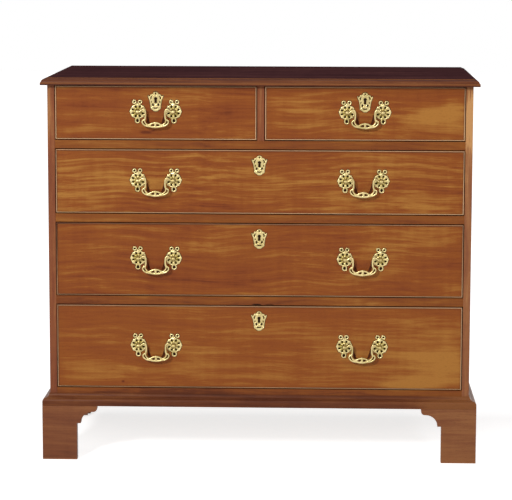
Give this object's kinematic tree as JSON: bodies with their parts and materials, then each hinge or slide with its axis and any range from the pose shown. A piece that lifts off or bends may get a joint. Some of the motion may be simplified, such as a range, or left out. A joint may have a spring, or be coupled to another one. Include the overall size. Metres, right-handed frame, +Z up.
{
  "type": "chest of drawers",
  "caption": "Mahogany chest with two short drawers over three graduated long ones, cockbeading, pierced brass swing handles, moulded top and base, and bracket feet.",
  "frame": {"origin": "on the floor at the centre of the footprint of the whole object, brasses and mouldings included", "axes": "+X to the right of someone facing the drawers (the long way), +Y towards the back, +Z up"},
  "size_m": [1.086, 0.5506, 0.959],
  "materials": {
    "mahogany": "waxed and french polished mahogany, reddish brown",
    "mahogany_veneer": "polished figured mahogany, golden streaks along the grain",
    "oak": "unpolished aged oak",
    "pine": "unpolished aged pine",
    "brass": "polished cast brass, darker in its recesses",
    "lock_brass": "dull brass plate",
    "iron": "filed wrought iron"
  },
  "bodies": {
    "case": {"top_board": "mahogany", "right_side": "mahogany", "left_side": "mahogany", "bottom_board": "oak", "backboards": "pine", "front_rails": "mahogany", "partition": "mahogany", "runners": "oak", "dustboards": "pine", "drawer_stops": "oak", "base_moulding_front": "mahogany", "base_moulding_right": "mahogany", "base_moulding_left": "mahogany", "front_right_foot": "mahogany", "front_left_foot": "mahogany", "rear_right_foot": "mahogany", "rear_left_foot": "mahogany"},
    "drawer_top_left": {"top_left_front": "mahogany_veneer", "top_left_cockbead": "mahogany", "top_left_box": "oak", "top_left_lock": "lock_brass", "top_left_escutcheon": "brass", "top_left_handle_plates": "brass"},
    "top_left_bolt": {"top_left_lock_bolt": "iron"},
    "top_left_bail_body": {"top_left_bail": "brass"},
    "drawer_top_right": {"top_right_front": "mahogany_veneer", "top_right_cockbead": "mahogany", "top_right_box": "oak", "top_right_lock": "lock_brass", "top_right_escutcheon": "brass", "top_right_handle_plates": "brass"},
    "top_right_bolt": {"top_right_lock_bolt": "iron"},
    "top_right_bail_body": {"top_right_bail": "brass"},
    "drawer_lower": {"lower_front": "mahogany_veneer", "lower_cockbead": "mahogany", "lower_box": "oak", "lower_lock": "lock_brass", "lower_escutcheon": "brass", "lower_handle_plates": "brass"},
    "lower_bolt": {"lower_lock_bolt": "iron"},
    "lower_left_bail_body": {"lower_left_bail": "brass"},
    "lower_right_bail_body": {"lower_right_bail": "brass"},
    "drawer_middle": {"middle_front": "mahogany_veneer", "middle_cockbead": "mahogany", "middle_box": "oak", "middle_lock": "lock_brass", "middle_escutcheon": "brass", "middle_handle_plates": "brass"},
    "middle_bolt": {"middle_lock_bolt": "iron"},
    "middle_left_bail_body": {"middle_left_bail": "brass"},
    "middle_right_bail_body": {"middle_right_bail": "brass"},
    "drawer_upper": {"upper_front": "mahogany_veneer", "upper_cockbead": "mahogany", "upper_box": "oak", "upper_lock": "lock_brass", "upper_escutcheon": "brass", "upper_handle_plates": "brass"},
    "upper_bolt": {"upper_lock_bolt": "iron"},
    "upper_left_bail_body": {"upper_left_bail": "brass"},
    "upper_right_bail_body": {"upper_right_bail": "brass"}
  },
  "joints": [
    {"name": "top_left_drawer_slide", "type": "slide", "parent": "case", "child": "drawer_top_left", "axis": [0, -1, 0], "range_m": [0, 0.4]},
    {"name": "top_left_bolt_slide", "type": "slide", "parent": "drawer_top_left", "child": "top_left_bolt", "axis": [0, 0, 1], "range_m": [0, 0.008]},
    {"name": "top_left_bail_hinge", "type": "hinge", "parent": "drawer_top_left", "child": "top_left_bail_body", "pos_m": [-0.2565, -0.2707, 0.8765], "axis": [-1, 0, 0], "range_deg": [-12, 165]},
    {"name": "top_right_drawer_slide", "type": "slide", "parent": "case", "child": "drawer_top_right", "axis": [0, -1, 0], "range_m": [0, 0.4]},
    {"name": "top_right_bolt_slide", "type": "slide", "parent": "drawer_top_right", "child": "top_right_bolt", "axis": [0, 0, 1], "range_m": [0, 0.008]},
    {"name": "top_right_bail_hinge", "type": "hinge", "parent": "drawer_top_right", "child": "top_right_bail_body", "pos_m": [0.2595, -0.2707, 0.8765], "axis": [-1, 0, 0], "range_deg": [-12, 165]},
    {"name": "lower_drawer_slide", "type": "slide", "parent": "case", "child": "drawer_lower", "axis": [0, -1, 0], "range_m": [0, 0.4]},
    {"name": "lower_bolt_slide", "type": "slide", "parent": "drawer_lower", "child": "lower_bolt", "axis": [0, 0, 1], "range_m": [0, 0.008]},
    {"name": "lower_left_bail_hinge", "type": "hinge", "parent": "drawer_lower", "child": "lower_left_bail_body", "pos_m": [-0.257, -0.2707, 0.29125], "axis": [-1, 0, 0], "range_deg": [-12, 165]},
    {"name": "lower_right_bail_hinge", "type": "hinge", "parent": "drawer_lower", "child": "lower_right_bail_body", "pos_m": [0.257, -0.2707, 0.29125], "axis": [-1, 0, 0], "range_deg": [-12, 165]},
    {"name": "middle_drawer_slide", "type": "slide", "parent": "case", "child": "drawer_middle", "axis": [0, -1, 0], "range_m": [0, 0.4]},
    {"name": "middle_bolt_slide", "type": "slide", "parent": "drawer_middle", "child": "middle_bolt", "axis": [0, 0, 1], "range_m": [0, 0.008]},
    {"name": "middle_left_bail_hinge", "type": "hinge", "parent": "drawer_middle", "child": "middle_left_bail_body", "pos_m": [-0.257, -0.2707, 0.51125], "axis": [-1, 0, 0], "range_deg": [-12, 165]},
    {"name": "middle_right_bail_hinge", "type": "hinge", "parent": "drawer_middle", "child": "middle_right_bail_body", "pos_m": [0.257, -0.2707, 0.51125], "axis": [-1, 0, 0], "range_deg": [-12, 165]},
    {"name": "upper_drawer_slide", "type": "slide", "parent": "case", "child": "drawer_upper", "axis": [0, -1, 0], "range_m": [0, 0.4]},
    {"name": "upper_bolt_slide", "type": "slide", "parent": "drawer_upper", "child": "upper_bolt", "axis": [0, 0, 1], "range_m": [0, 0.008]},
    {"name": "upper_left_bail_hinge", "type": "hinge", "parent": "drawer_upper", "child": "upper_left_bail_body", "pos_m": [-0.257, -0.2707, 0.70625], "axis": [-1, 0, 0], "range_deg": [-12, 165]},
    {"name": "upper_right_bail_hinge", "type": "hinge", "parent": "drawer_upper", "child": "upper_right_bail_body", "pos_m": [0.257, -0.2707, 0.70625], "axis": [-1, 0, 0], "range_deg": [-12, 165]}
  ]
}
